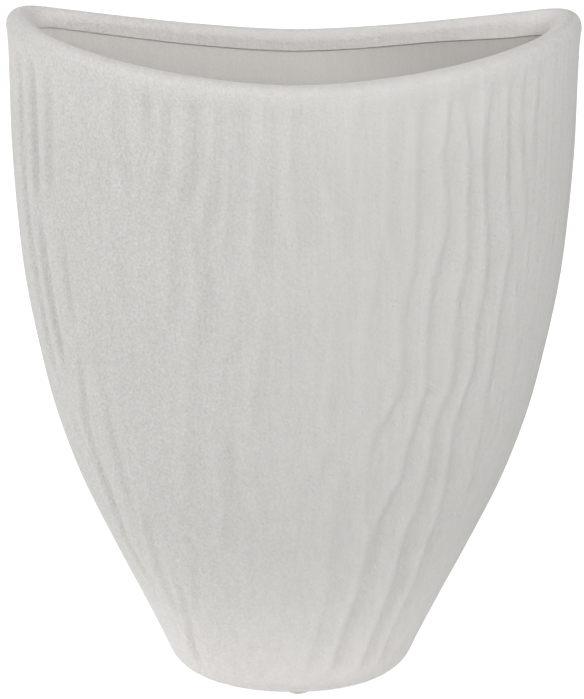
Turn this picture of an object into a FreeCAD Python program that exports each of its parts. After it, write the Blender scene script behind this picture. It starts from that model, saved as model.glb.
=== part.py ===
import FreeCAD, Part
import Sketcher
import math
import os

# Hanging wall vase in fired clay. It is a flat-backed pocket: the plan is a D with its
# straight side on the wall, wide at the mouth and tapering to a small foot. The rim rises
# to its two corners, a rolled lip runs all the way round it, and the front is carved with
# long uneven flutes. A keyhole in the back wall hangs it on one screw, and five clear
# rubber bumpers keep its foot and its back off what it touches.
#
# +X points to the vase's right as seen from the room, +Y into the wall, +Z up.
# The vase is drawn standing on z = 0 with its back in the plane y = 0, and then lowered
# so that the keyhole's entry hole, at the back face, is the origin.

doc = FreeCAD.newDocument("HangingWallVase")
sheet = doc.addObject("Spreadsheet::Sheet", "Sizes")

SIZES = (
    ("body_height", 262.0, "foot to the raised corners of the rim"),
    ("mouth_width", 219.4, "across the mouth, below the lip"),
    ("foot_width", 88.5, "across the foot, before its edge is rolled"),
    ("mouth_depth", 96.0, "back to front of the mouth"),
    ("foot_depth", 55.0, "back to front of the foot"),
    ("foot_radius", 7.3, "rolled edge under the foot"),
    ("corner_radius", 8.0, "upright corners where the sides meet the back"),
    ("rim_dip", 9.4, "how far the rim sinks between its corners"),
    ("lip_height", 8.0, "height of the lip, inside and outside"),
    ("lip_thickness", 8.0, "lip at the front and the back"),
    ("lip_side_thickness", 12.0, "lip at the two ends of the mouth"),
    ("lip_proud", 0.3, "lip beyond the skin below it"),
    ("lip_blend", 6.0, "height over which the skin swells out to the lip"),
    ("lip_sag", 2.0, "how much taller the lip is inside the mouth's right end"),
    ("lip_end_roll", 2.5, "how much deeper the lip is rounded at the mouth's ends"),
    ("lip_step", 0.5, "height over which the lip steps out to the cavity"),
    ("wall_thickness", 7.3, "front and back walls"),
    ("side_wall_thickness", 11.3, "walls at the two ends of the plan"),
    ("floor_thickness", 7.0, "clay under the cavity"),
    ("cavity_corner_radius", 7.0, "upright corners of the cavity"),
    ("cavity_floor_radius", 6.0, "rounding round the cavity's floor"),
    ("flute_depth", 1.6, "deepest flute"),
    ("flute_bottom", 2.4, "a flute's bottom to the right of its line"),
    ("flute_fall", 2.2, "width over which a flute drops, on its left side"),
    ("flute_climb", 3.6, "width over which it climbs back, on its right side"),
    ("flute_ridge_offset", 1.8, "top of its ridge to the left of its line"),
    ("flute_ridge_width", 2.4, "width of the ridge along its left side"),
    ("flute_reach", 11.0, "a flute does not change the clay beyond this"),
    ("flute_fade_top", 3.5, "height over which flutes fade below the lip"),
    ("flute_fade_foot", 5.0, "height over which flutes fade above the foot"),
    ("keyhole_drop", 50.0, "rim's corners down to the entry hole"),
    ("keyhole_entry_radius", 5.0, "passes the screw's head"),
    ("keyhole_slot_width", 5.0, "holds the screw's shank"),
    ("keyhole_rise", 10.0, "entry hole up to the slot's end"),
    ("bumper_diameter", 8.5, "rubber bumpers"),
    ("bumper_thickness", 2.2, "rubber bumpers"),
    ("bumper_edge_radius", 0.7, "rounded rim of a bumper's face"),
    ("bumper_inset", 1.6, "bumper back from the edge of the flat that carries it"),
    ("front_bumper_offset", 3.0, "front bumper right of the middle"),
    ("wall_bumper_height", 40.0, "wall bumpers above the foot"),
    ("wall_bumper_spacing", 80.0, "between the two wall bumpers"),
    ("overrun", 2.0, "cutters beyond what they cut"),
)

for row, (alias, value, meaning) in enumerate(SIZES, start=1):
    sheet.set("A%d" % row, alias)
    sheet.set("B%d" % row, "%g" % value)
    sheet.set("C%d" % row, meaning)
    sheet.setAlias("B%d" % row, alias)
doc.recompute()


def size(alias):
    return float(sheet.get(alias))


# How the vase opens: share of the height, share of the way from the foot's size to the mouth's.
OUTLINE_SHARES = (
    (0.00, 0.000),
    (0.05, 0.089),
    (0.12, 0.228),
    (0.20, 0.391),
    (0.30, 0.581),
    (0.40, 0.725),
    (0.50, 0.824),
    (0.60, 0.901),
    (0.70, 0.946),
    (0.80, 0.975),
    (0.90, 0.987),
    (1.00, 1.000),
)

# The flutes: each a share of flute_depth and then its line from the lip down, as shares of
# the height and of the way from the front's middle (0) to a side (-1 or 1). A share below
# zero is a short raised rib.
FLUTE_SHARES = (
    (0.74, ((0.98, -0.815), (0.90, -0.811), (0.80, -0.811), (0.75, -0.809), (0.70, -0.802),
           (0.65, -0.789), (0.60, -0.779), (0.50, -0.784))),
    (0.90, ((0.97, -0.725), (0.90, -0.724), (0.84, -0.721), (0.80, -0.722), (0.76, -0.725))),
    (0.88, ((0.72, -0.717), (0.68, -0.714), (0.64, -0.708), (0.60, -0.704), (0.55, -0.701),
           (0.51, -0.699))),
    (0.70, ((0.95, -0.639), (0.90, -0.643), (0.85, -0.647), (0.80, -0.650), (0.77, -0.655))),
    (0.64, ((0.72, -0.613), (0.68, -0.614), (0.63, -0.609), (0.58, -0.607))),
    (0.20, ((0.53, -0.792), (0.47, -0.757), (0.42, -0.722), (0.37, -0.677), (0.33, -0.632))),
    (0.54, ((0.54, -0.603), (0.50, -0.612), (0.46, -0.627), (0.42, -0.637), (0.38, -0.641),
           (0.34, -0.643), (0.30, -0.644))),
    (0.55, ((0.32, -0.627), (0.28, -0.645), (0.24, -0.665), (0.21, -0.670), (0.18, -0.650),
           (0.155, -0.617))),
    (0.45, ((0.55, -0.521), (0.50, -0.525), (0.45, -0.528), (0.40, -0.528), (0.35, -0.531),
           (0.29, -0.538))),
    (0.47, ((0.30, -0.470), (0.265, -0.491), (0.22, -0.517), (0.20, -0.528), (0.175, -0.529),
           (0.14, -0.532), (0.10, -0.540))),
    (0.76, ((0.17, -0.445), (0.125, -0.478), (0.09, -0.505), (0.06, -0.532), (0.03, -0.545))),
    (0.50, ((0.26, -0.324), (0.22, -0.346), (0.20, -0.359), (0.17, -0.379), (0.14, -0.406),
           (0.12, -0.430))),
    (0.14, ((0.96, -0.512), (0.90, -0.509), (0.84, -0.519), (0.76, -0.552))),
    (0.30, ((0.88, -0.466), (0.84, -0.466), (0.79, -0.466))),
    (0.68, ((0.97, -0.412), (0.90, -0.419), (0.86, -0.408), (0.81, -0.388))),
    (0.30, ((0.72, -0.417), (0.64, -0.412), (0.59, -0.400))),
    (1.10, ((0.99, -0.331), (0.95, -0.336), (0.88, -0.338))),
    (0.80, ((0.98, -0.281), (0.93, -0.290), (0.88, -0.296), (0.84, -0.304), (0.80, -0.311))),
    (0.80, ((0.80, -0.274), (0.75, -0.276), (0.70, -0.280), (0.65, -0.286), (0.61, -0.293))),
    (1.27, ((0.98, -0.229), (0.90, -0.231), (0.86, -0.233), (0.83, -0.241), (0.80, -0.250))),
    (1.03, ((0.77, -0.221), (0.74, -0.211), (0.70, -0.206), (0.66, -0.206), (0.62, -0.213),
           (0.60, -0.217), (0.57, -0.226))),
    (0.55, ((0.61, -0.247), (0.57, -0.245), (0.53, -0.248), (0.50, -0.252), (0.45, -0.261),
           (0.41, -0.270), (0.38, -0.277), (0.34, -0.285))),
    (1.28, ((0.97, -0.164), (0.89, -0.167), (0.85, -0.171), (0.82, -0.178), (0.79, -0.187),
           (0.76, -0.196))),
    (0.55, ((0.69, -0.114), (0.64, -0.122), (0.60, -0.135), (0.56, -0.150), (0.51, -0.164),
           (0.47, -0.174))),
    (0.73, ((0.45, -0.174), (0.42, -0.173), (0.38, -0.175), (0.34, -0.179), (0.30, -0.192),
           (0.26, -0.213))),
    (-0.75, ((0.43, -0.134), (0.39, -0.139))),
    (1.00, ((0.98, -0.126), (0.92, -0.128), (0.86, -0.131), (0.82, -0.135), (0.78, -0.143),
           (0.74, -0.152), (0.71, -0.156))),
    (0.90, ((0.98, -0.059), (0.93, -0.059), (0.88, -0.063), (0.83, -0.068), (0.80, -0.070),
           (0.75, -0.074), (0.71, -0.076))),
    (0.68, ((0.64, -0.065), (0.59, -0.067), (0.53, -0.082), (0.48, -0.093), (0.43, -0.098))),
    (0.60, ((0.40, -0.106), (0.37, -0.101), (0.34, -0.092), (0.30, -0.089))),
    (-0.45, ((0.39, -0.069), (0.35, -0.074))),
    (0.65, ((0.225, -0.129), (0.195, -0.129))),
    (0.77, ((0.97, -0.007), (0.90, -0.002), (0.85, 0.002), (0.80, 0.007), (0.74, 0.010))),
    (0.15, ((0.67, 0.006), (0.63, -0.004), (0.60, -0.023), (0.56, -0.028), (0.53, -0.023))),
    (0.32, ((0.195, -0.015), (0.168, -0.041))),
    (0.58, ((0.64, 0.082), (0.58, 0.082), (0.51, 0.084), (0.46, 0.084))),
    (0.95, ((0.41, 0.066), (0.39, 0.067))),
    (0.60, ((0.93, 0.037), (0.90, 0.044), (0.86, 0.057), (0.82, 0.077), (0.78, 0.086),
           (0.745, 0.092))),
    (0.65, ((0.36, 0.123), (0.32, 0.110), (0.28, 0.110), (0.23, 0.114), (0.20, 0.121),
           (0.17, 0.121), (0.14, 0.110), (0.10, 0.095), (0.05, 0.075), (0.02, 0.064))),
    (0.50, ((0.95, 0.120), (0.90, 0.125), (0.84, 0.131))),
    (0.68, ((0.79, 0.203), (0.75, 0.217), (0.72, 0.224))),
    (0.42, ((0.96, 0.203), (0.90, 0.203), (0.80, 0.201), (0.76, 0.191), (0.72, 0.181),
           (0.68, 0.176), (0.65, 0.168), (0.62, 0.161), (0.58, 0.163), (0.54, 0.172),
           (0.50, 0.181))),
    (0.70, ((1.00, 0.281), (0.95, 0.275), (0.90, 0.266), (0.80, 0.268), (0.71, 0.270),
           (0.68, 0.259), (0.65, 0.253), (0.51, 0.253), (0.48, 0.231), (0.45, 0.204),
           (0.42, 0.193), (0.36, 0.196), (0.31, 0.211), (0.28, 0.228))),
    (0.66, ((1.00, 0.349), (0.90, 0.341), (0.87, 0.336), (0.83, 0.342), (0.80, 0.347),
           (0.76, 0.348), (0.73, 0.338), (0.70, 0.327), (0.66, 0.317), (0.64, 0.314),
           (0.60, 0.318), (0.55, 0.323), (0.515, 0.331), (0.48, 0.317), (0.45, 0.307))),
    (0.85, ((0.45, 0.307), (0.42, 0.299), (0.37, 0.296), (0.345, 0.276), (0.32, 0.263),
           (0.29, 0.250), (0.26, 0.240))),
    (1.15, ((0.26, 0.239), (0.22, 0.237), (0.19, 0.237), (0.16, 0.231), (0.13, 0.222),
           (0.10, 0.211), (0.05, 0.198), (0.02, 0.190))),
    (0.63, ((0.97, 0.377), (0.93, 0.388), (0.90, 0.396), (0.87, 0.405), (0.80, 0.407),
           (0.75, 0.410), (0.70, 0.413), (0.68, 0.409), (0.65, 0.399), (0.60, 0.399),
           (0.55, 0.406), (0.51, 0.410), (0.49, 0.392), (0.465, 0.381), (0.44, 0.374))),
    (0.80, ((0.44, 0.374), (0.40, 0.377), (0.35, 0.382), (0.31, 0.379), (0.28, 0.365),
           (0.25, 0.361))),
    (1.23, ((0.25, 0.367), (0.21, 0.371), (0.18, 0.380), (0.10, 0.372), (0.05, 0.365),
           (0.02, 0.361))),
    (0.73, ((1.00, 0.459), (0.95, 0.460), (0.90, 0.451), (0.85, 0.450), (0.80, 0.456),
           (0.75, 0.467), (0.70, 0.475), (0.66, 0.476), (0.60, 0.465), (0.55, 0.470),
           (0.52, 0.472), (0.48, 0.456), (0.44, 0.442), (0.40, 0.448), (0.35, 0.462),
           (0.30, 0.472), (0.25, 0.476))),
    (1.30, ((0.25, 0.474), (0.20, 0.488), (0.15, 0.489), (0.05, 0.479), (0.02, 0.477))),
    (0.43, ((1.00, 0.515), (0.95, 0.521), (0.90, 0.519), (0.85, 0.523), (0.80, 0.528),
           (0.75, 0.543), (0.71, 0.559), (0.68, 0.552), (0.65, 0.545), (0.60, 0.541),
           (0.55, 0.541), (0.50, 0.546), (0.45, 0.550), (0.40, 0.557), (0.35, 0.574),
           (0.30, 0.593))),
    (0.35, ((0.97, 0.564), (0.90, 0.566), (0.85, 0.575), (0.80, 0.592), (0.76, 0.603),
           (0.72, 0.601), (0.69, 0.595))),
    (0.17, ((0.64, 0.612), (0.60, 0.617), (0.55, 0.637), (0.50, 0.647))),
    (0.32, ((0.99, 0.625), (0.93, 0.630), (0.88, 0.624), (0.81, 0.625))),
    (0.05, ((0.95, 0.689), (0.82, 0.689))),
)

FLUTE_RIDGE_SHARE = 0.35
FLUTE_END_SHARE = 0.035
SAG_START = 0.5
SAG_SPAN = 0.4
END_START = 0.7
END_SPAN = 0.3
RIM_BOW_POWER = 1.6
RIM_EASE_POWER = 1.15
PLAN_POWER = 2.1
LEAST_CORNER_SHARE = 0.25
FLAT_SPLIT_SHARE = 0.97
FRONT_STEPS = 280
CORNER_STEPS = 6
BACK_STEPS = 20
WALL_STEPS = 46
CAVITY_STEPS = 14
FOOT_STEPS = 5
LIP_STEPS = 8
DEGREE = 3


def eased(share):
    share = min(max(share, 0.0), 1.0)
    return share * share * (3.0 - 2.0 * share)


def smooth_between(points, place):
    """Height of a smooth line through points with rising places, held level past its ends."""
    if place <= points[0][0]:
        return points[0][1]
    if place >= points[-1][0]:
        return points[-1][1]
    slopes = []
    for i in range(len(points)):
        before = points[max(i - 1, 0)]
        after = points[min(i + 1, len(points) - 1)]
        slopes.append((after[1] - before[1]) / (after[0] - before[0]))
    for i in range(len(points) - 1):
        start, end = points[i], points[i + 1]
        if place <= end[0]:
            gap = end[0] - start[0]
            s = (place - start[0]) / gap
            rise = eased(s)
            leave = s * (1.0 - s) * (1.0 - s) * gap * slopes[i]
            arrive = s * s * (s - 1.0) * gap * slopes[i + 1]
            return start[1] + (end[1] - start[1]) * rise + leave + arrive


class Plan:
    """One level of the vase: half its width, where its front and back lie, and its corners."""

    def __init__(self, half, front, back, corner):
        self.half = half
        self.front = front
        self.back = back
        self.corner = corner

    def inset(self, side, front, back, corner):
        return Plan(self.half - side, self.front - front, self.back + back, corner)


def outer_plan(height):
    opened = smooth_between(OUTLINE_SHARES, height / size("body_height"))
    width = size("foot_width") + (size("mouth_width") - size("foot_width")) * opened
    front = size("foot_depth") + (size("mouth_depth") - size("foot_depth")) * opened
    return Plan(width / 2, front, 0, size("corner_radius"))


def cavity_plan(height):
    outer = outer_plan(height)
    wall = size("wall_thickness")
    return outer.inset(size("side_wall_thickness"), wall, wall, size("cavity_corner_radius"))


def plan_columns():
    """Stations round the plan, from the back's right end past the front to its left end."""
    right = [("back", 1.0, FLAT_SPLIT_SHARE), ("back", 1.0, (1.0 + FLAT_SPLIT_SHARE) / 2)]
    right += [("corner", 1.0, 1.0 - i / CORNER_STEPS) for i in range(CORNER_STEPS)]
    front = [("front", 0.0, 1.0 - 2.0 * i / FRONT_STEPS) for i in range(FRONT_STEPS + 1)]
    left = [(kind, -side, share) for kind, side, share in reversed(right)]
    return right + front + left


def back_columns():
    return [("back", 1.0, FLAT_SPLIT_SHARE * (2.0 * i / BACK_STEPS - 1.0)) for i in range(BACK_STEPS + 1)]


def plan_point(column, plan):
    kind, side, share = column
    if kind == "front":
        turn = share * math.pi / 2
        across = math.copysign(abs(math.sin(turn)) ** (2 / PLAN_POWER), turn)
        ahead = abs(math.cos(turn)) ** (2 / PLAN_POWER) if abs(share) < 1.0 else 0.0
        shoulder = plan.back + plan.corner
        return across * plan.half, -(shoulder + (plan.front - shoulder) * ahead)
    if kind == "corner":
        turn = share * math.pi / 2
        x = plan.half - plan.corner + plan.corner * math.cos(turn)
        return side * x, -(plan.back + plan.corner - plan.corner * math.sin(turn))
    return side * share * (plan.half - plan.corner), -plan.back


def rim_height(across):
    """Height of the rim over a point at this share of the plan's half width."""
    bow = max(1.0 - abs(across) ** RIM_BOW_POWER, 0.0)
    return size("body_height") - size("rim_dip") * bow ** RIM_EASE_POWER


def lip_height(across):
    """Height of the lip inside the mouth, which sags a little towards its right end."""
    return size("lip_height") + size("lip_sag") * eased((across - SAG_START) / SAG_SPAN)


def flute_profile(distance):
    """Depth across one flute, as a share of its full depth."""
    past = distance - size("flute_bottom")
    width = size("flute_fall") if past < 0 else size("flute_climb")
    groove = math.exp(-(past / width) ** 2)
    from_ridge = distance + size("flute_ridge_offset")
    ridge = math.exp(-(from_ridge / size("flute_ridge_width")) ** 2)
    return FLUTE_RIDGE_SHARE * ridge - groove


def flutes_at(height_share):
    """Strength and place of every flute that crosses this level."""
    crossing = []
    for strength, path in FLUTE_SHARES:
        top, bottom = path[0][0], path[-1][0]
        inside = min(top - height_share, height_share - bottom)
        fade = eased((inside + FLUTE_END_SHARE) / (2 * FLUTE_END_SHARE))
        if fade > 0.0:
            rising = [(place, across) for place, across in reversed(path)]
            crossing.append((strength * fade, smooth_between(rising, height_share)))
    return crossing


def carve(points, columns, plan, height):
    """Moves one level's front points in and out along the plan to carve the flutes."""
    span = size("body_height") - size("lip_height")
    near_lip = eased((span - height) / size("flute_fade_top"))
    near_foot = eased((height - size("foot_radius")) / size("flute_fade_foot"))
    depth = size("flute_depth") * near_lip * near_foot
    crossing = flutes_at(height / size("body_height"))
    ahead = plan.front - plan.back - plan.corner
    quarter = math.pi / 2 * math.sqrt((plan.half ** 2 + ahead ** 2) / 2)
    reach = size("flute_reach")
    carved = []
    for (x, y), (kind, side, share) in zip(points, columns):
        if kind == "front":
            drop = 0.0
            for strength, place in crossing:
                distance = (share - place) * quarter
                if abs(distance) < reach:
                    drop += strength * flute_profile(distance)
            sides = eased((1.0 - abs(share)) / (1.0 - FLAT_SPLIT_SHARE))
            out = depth * drop * sides
            normal_x = x / plan.half ** 2
            normal_y = (y + plan.back + plan.corner) / ahead ** 2
            length = math.hypot(normal_x, normal_y)
            x += out * normal_x / length
            y += out * normal_y / length
        carved.append((x, y))
    return carved


def level(columns, plan, height_of, carved_at=None):
    """One row of the skin: the plan's points, each lifted to the height it has there."""
    points = [plan_point(column, plan) for column in columns]
    shares = [x / plan.half for x, y in points]
    if carved_at is not None:
        points = carve(points, columns, plan, carved_at)
    return [FreeCAD.Vector(x, y, height_of(share)) for (x, y), share in zip(points, shares)]


def blended(outer, inner, turn, half):
    """One row over the rolled top of the lip, at this turn from its outside to its inside."""
    row = []
    for a, b in zip(outer, inner):
        over = (1.0 - math.cos(turn)) / 2
        point = a * (1.0 - over) + b * over
        across = a.x / half
        at_end = eased((abs(across) - END_START) / END_SPAN)
        roll = size("lip_thickness") / 2 + size("lip_end_roll") * at_end
        lifted = rim_height(across) - roll * (1.0 - math.sin(turn))
        row.append(FreeCAD.Vector(point.x, point.y, lifted))
    return row


def skin_rows(columns):
    """Every row of the vase's skin, from under the foot, over the lip and down to the floor."""
    body = size("body_height")
    lip = size("lip_height")
    foot = size("foot_radius")
    step = size("lip_step")
    least = LEAST_CORNER_SHARE * size("corner_radius")
    rows = []

    # The foot: flat underneath, then rolled up into the wall.
    for i in range(-1, FOOT_STEPS + 1):
        turn = max(i, 0) / FOOT_STEPS * math.pi / 2
        height = foot * (1.0 - math.cos(turn))
        inset = foot * (1.0 - math.sin(turn)) + (least if i < 0 else 0.0)
        corner = max(size("corner_radius") - inset, least)
        plan = outer_plan(height).inset(inset, inset, inset, corner)
        rows.append(level(columns, plan, lambda across, h=height: h))

    # The carved wall, whose rows follow the rim more closely the higher they lie and which
    # swells out to the lip at its top.
    proud = size("lip_proud")
    span = body - lip - foot
    for i in range(1, WALL_STEPS + 1):
        height = foot + span * i / WALL_STEPS
        swell = proud * eased(1.0 - (body - lip - height) / size("lip_blend"))
        plan = outer_plan(height).inset(-swell, -swell, 0, size("corner_radius"))
        raised = lambda across, s=i / WALL_STEPS: foot + (rim_height(across) - lip - foot) * s
        rows.append(level(columns, plan, raised, carved_at=height))

    # The lip: over its rolled top and down the inside of the mouth.
    band = outer_plan(body).inset(-proud, -proud, 0, size("corner_radius"))
    inset_side = size("lip_side_thickness") + proud
    inset_front = size("lip_thickness") + proud
    mouth = band.inset(inset_side, inset_front, size("lip_thickness"), size("cavity_corner_radius"))
    outside = level(columns, band, rim_height)
    inside = level(columns, mouth, rim_height)
    for i in range(LIP_STEPS + 1):
        rows.append(blended(outside, inside, i / LIP_STEPS * math.pi, band.half))
    for left in (2 * step, step):
        inner = lambda across, k=left: rim_height(across) - lip_height(across) + k
        rows.append(level(columns, mouth, inner))

    # The cavity: down the wall, round the bottom and in along the floor.
    floor = size("floor_thickness")
    round_floor = size("cavity_floor_radius")
    deepest = floor + round_floor
    span = body - lip - deepest
    for i in range(CAVITY_STEPS + 1):
        height = body - lip - span * i / CAVITY_STEPS
        sunk = lambda across, s=i / CAVITY_STEPS: (
            (rim_height(across) - lip_height(across)) * (1.0 - s) + deepest * s)
        rows.append(level(columns, cavity_plan(height), sunk))
    for i in range(1, FOOT_STEPS + 2):
        turn = min(i, FOOT_STEPS) / FOOT_STEPS * math.pi / 2
        height = floor + round_floor * (1.0 - math.sin(turn))
        inset = round_floor * (1.0 - math.cos(turn)) + (least if i > FOOT_STEPS else 0.0)
        corner = max(size("cavity_corner_radius") - inset, least)
        plan = cavity_plan(height).inset(inset, inset, inset, corner)
        rows.append(level(columns, plan, lambda across, h=height: h))
    return rows


def skin_face(rows):
    """One smooth face whose control points are these rows."""
    def knots(count):
        spans = count - DEGREE
        return list(range(spans + 1)), [DEGREE + 1] + [1] * (spans - 1) + [DEGREE + 1]

    u_knots, u_mults = knots(len(rows))
    v_knots, v_mults = knots(len(rows[0]))
    surface = Part.BSplineSurface()
    surface.buildFromPolesMultsKnots(
        rows, u_mults, v_mults, u_knots, v_knots, False, False, DEGREE, DEGREE)
    return surface.toShape()


def closing_face(edges, height):
    """The flat face that closes the skin at this height."""
    tolerance = size("overrun") / 1000
    level_edges = [e for e in edges if all(abs(v.Z - height) < tolerance for v in e.Vertexes)]
    return Part.Face(Part.Wire(Part.__sortEdges__(level_edges)))


def clay_shape():
    front = skin_face(skin_rows(plan_columns()))
    back = skin_face(skin_rows(back_columns()))
    edges = front.Edges + back.Edges
    foot = closing_face(edges, 0)
    floor = closing_face(edges, size("floor_thickness"))
    shell = Part.makeShell([front, back, foot, floor])
    shell.sewShape()
    solid = Part.makeSolid(shell)
    if solid.Volume < 0:
        solid.reverse()
    return solid


# The clay: the skin as one solid, then the keyhole cut through the back wall.
ENTRY_HEIGHT = "(Sizes.body_height - Sizes.keyhole_drop)"
clay = doc.addObject("Part::Feature", "clay")
clay.Shape = clay_shape()

entry = doc.addObject("Part::Cylinder", "keyhole_entry")
entry.setExpression("Radius", "Sizes.keyhole_entry_radius")
entry.setExpression("Height", "Sizes.wall_thickness + 2 * Sizes.overrun")
entry.Placement.Rotation = FreeCAD.Rotation(FreeCAD.Vector(1, 0, 0), 90)
entry.setExpression("Placement.Base.y", "Sizes.overrun")
entry.setExpression("Placement.Base.z", ENTRY_HEIGHT)

slot_end = doc.addObject("Part::Cylinder", "keyhole_slot_end")
slot_end.setExpression("Radius", "Sizes.keyhole_slot_width / 2")
slot_end.setExpression("Height", "Sizes.wall_thickness + 2 * Sizes.overrun")
slot_end.Placement.Rotation = FreeCAD.Rotation(FreeCAD.Vector(1, 0, 0), 90)
slot_end.setExpression("Placement.Base.y", "Sizes.overrun")
slot_end.setExpression("Placement.Base.z", "%s + Sizes.keyhole_rise" % ENTRY_HEIGHT)

slot = doc.addObject("Part::Box", "keyhole_slot")
slot.setExpression("Length", "Sizes.keyhole_slot_width")
slot.setExpression("Width", "Sizes.wall_thickness + 2 * Sizes.overrun")
slot.setExpression("Height", "Sizes.keyhole_rise")
slot.setExpression("Placement.Base.x", "-Sizes.keyhole_slot_width / 2")
slot.setExpression("Placement.Base.y", "-Sizes.wall_thickness - Sizes.overrun")
slot.setExpression("Placement.Base.z", ENTRY_HEIGHT)

keyhole = doc.addObject("Part::MultiFuse", "keyhole")
keyhole.Shapes = [entry, slot, slot_end]

vase_body = doc.addObject("Part::Cut", "vase_body")
vase_body.Base = clay
vase_body.Tool = keyhole
vase_body.Label = "vase_body"
vase_body.setExpression("Placement.Base.z", "-%s" % ENTRY_HEIGHT)
parts = [vase_body]


def role_plane(body, role):
    return [f for f in body.Origin.OriginFeatures if f.Role == role][0]


def bumper(name, x, y, z, rotation):
    """A clear stick-on rubber disc, its sticky side at its own z = 0 and its face rounded."""
    body = doc.addObject("PartDesign::Body", name)
    body.Label = name
    disc = body.newObject("Sketcher::SketchObject", name + "_disc")
    disc.AttachmentSupport = [(role_plane(body, "XY_Plane"), "")]
    disc.MapMode = "FlatFace"
    centre, upward = FreeCAD.Vector(0, 0, 0), FreeCAD.Vector(0, 0, 1)
    disc.addGeometry(Part.Circle(centre, upward, size("bumper_diameter") / 2), False)
    disc.addConstraint(Sketcher.Constraint("Coincident", 0, 3, -1, 1))
    across = disc.addConstraint(Sketcher.Constraint("Diameter", 0, size("bumper_diameter")))
    disc.setExpression("Constraints[%d]" % across, "Sizes.bumper_diameter")
    pad = body.newObject("PartDesign::Pad", name + "_pad")
    pad.Profile = disc
    pad.setExpression("Length", "Sizes.bumper_thickness")
    doc.recompute()
    rim = [
        "Edge%d" % number for number, edge in enumerate(pad.Shape.Edges, start=1)
        if edge.CenterOfMass.z > size("bumper_thickness") * 3 / 4
    ]
    rounded = body.newObject("PartDesign::Fillet", name + "_edge")
    rounded.Base = (pad, rim)
    rounded.setExpression("Radius", "Sizes.bumper_edge_radius")
    body.Tip = rounded
    body.Placement.Rotation = rotation
    body.setExpression("Placement.Base.x", x)
    body.setExpression("Placement.Base.y", y)
    body.setExpression("Placement.Base.z", z)
    parts.append(body)


# Three bumpers under the foot and two low on the back, each on a flat of the clay.
DOWN = FreeCAD.Rotation(FreeCAD.Vector(1, 0, 0), 180)
BACK = FreeCAD.Rotation(FreeCAD.Vector(1, 0, 0), -90)
EDGE_TO_CENTRE = "(Sizes.foot_radius + Sizes.bumper_inset + Sizes.bumper_diameter / 2)"
SIDE = "(Sizes.foot_width / 2 - %s)" % EDGE_TO_CENTRE
UNDER = "-%s" % ENTRY_HEIGHT
LOW = "Sizes.wall_bumper_height - %s" % ENTRY_HEIGHT
bumper("base_bumper_front", "Sizes.front_bumper_offset",
       "%s - Sizes.foot_depth" % EDGE_TO_CENTRE, UNDER, DOWN)
bumper("base_bumper_rear_left", "-%s" % SIDE, "-%s" % EDGE_TO_CENTRE, UNDER, DOWN)
bumper("base_bumper_rear_right", SIDE, "-%s" % EDGE_TO_CENTRE, UNDER, DOWN)
bumper("wall_bumper_left", "-Sizes.wall_bumper_spacing / 2", "0", LOW, BACK)
bumper("wall_bumper_right", "Sizes.wall_bumper_spacing / 2", "0", LOW, BACK)


doc.recompute()
for thing in doc.Objects:
    if "Invalid" in thing.State or "Error" in thing.State:
        raise RuntimeError("%s failed: %s" % (thing.Label, thing.State))
for piece in parts:
    if piece.Shape.isNull() or not piece.Shape.isValid():
        raise RuntimeError("%s has no valid shape" % piece.Label)

os.makedirs("parts", exist_ok=True)
for piece in parts:
    piece.Shape.exportStep("parts/%s.step" % piece.Label)
    box = piece.Shape.BoundBox
    print("%s: %d solid, %.1f cm3, %.1f x %.1f x %.1f mm" % (
        piece.Label, len(piece.Shape.Solids), piece.Shape.Volume / 1000,
        box.XLength, box.YLength, box.ZLength))
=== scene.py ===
# A hanging wall vase in matte off-white clay: a flat-backed pocket with a D-shaped mouth, a
# dipped rim with a rolled lip, and uneven flutes carved down its front. It is one slip-cast
# shell with a keyhole in its back, and clear rubber bumpers under its foot and on its back.

import math

import bmesh
import bpy
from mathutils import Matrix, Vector


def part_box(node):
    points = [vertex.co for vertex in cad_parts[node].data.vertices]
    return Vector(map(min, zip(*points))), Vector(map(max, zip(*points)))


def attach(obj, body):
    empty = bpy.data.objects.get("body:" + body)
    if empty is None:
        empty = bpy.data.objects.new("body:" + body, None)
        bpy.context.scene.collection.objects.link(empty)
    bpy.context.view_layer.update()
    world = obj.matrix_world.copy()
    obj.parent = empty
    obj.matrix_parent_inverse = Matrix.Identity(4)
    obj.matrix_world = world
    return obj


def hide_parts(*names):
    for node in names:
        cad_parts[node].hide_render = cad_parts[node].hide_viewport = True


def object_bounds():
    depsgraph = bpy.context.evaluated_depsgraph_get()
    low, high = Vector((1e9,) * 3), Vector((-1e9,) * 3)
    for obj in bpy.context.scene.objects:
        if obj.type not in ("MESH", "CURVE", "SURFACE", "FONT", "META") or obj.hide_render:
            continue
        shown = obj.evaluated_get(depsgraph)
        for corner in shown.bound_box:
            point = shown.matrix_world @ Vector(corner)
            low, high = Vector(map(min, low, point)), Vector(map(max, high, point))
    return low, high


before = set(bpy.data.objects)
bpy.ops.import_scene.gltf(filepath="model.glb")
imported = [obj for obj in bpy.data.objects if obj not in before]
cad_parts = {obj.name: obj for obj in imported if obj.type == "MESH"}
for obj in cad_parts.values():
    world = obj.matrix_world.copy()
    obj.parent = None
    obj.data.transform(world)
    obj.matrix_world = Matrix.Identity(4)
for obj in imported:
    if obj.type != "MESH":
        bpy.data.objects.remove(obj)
cad_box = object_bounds()


# The clay shell. It is cast in one piece in a plaster mould, with walls of about 7 mm and a
# thicker rolled lip, and its flutes are carved before it is fired. The plan of every level
# is a D: straight along the wall, with small round corners and a bowed front.

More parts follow.
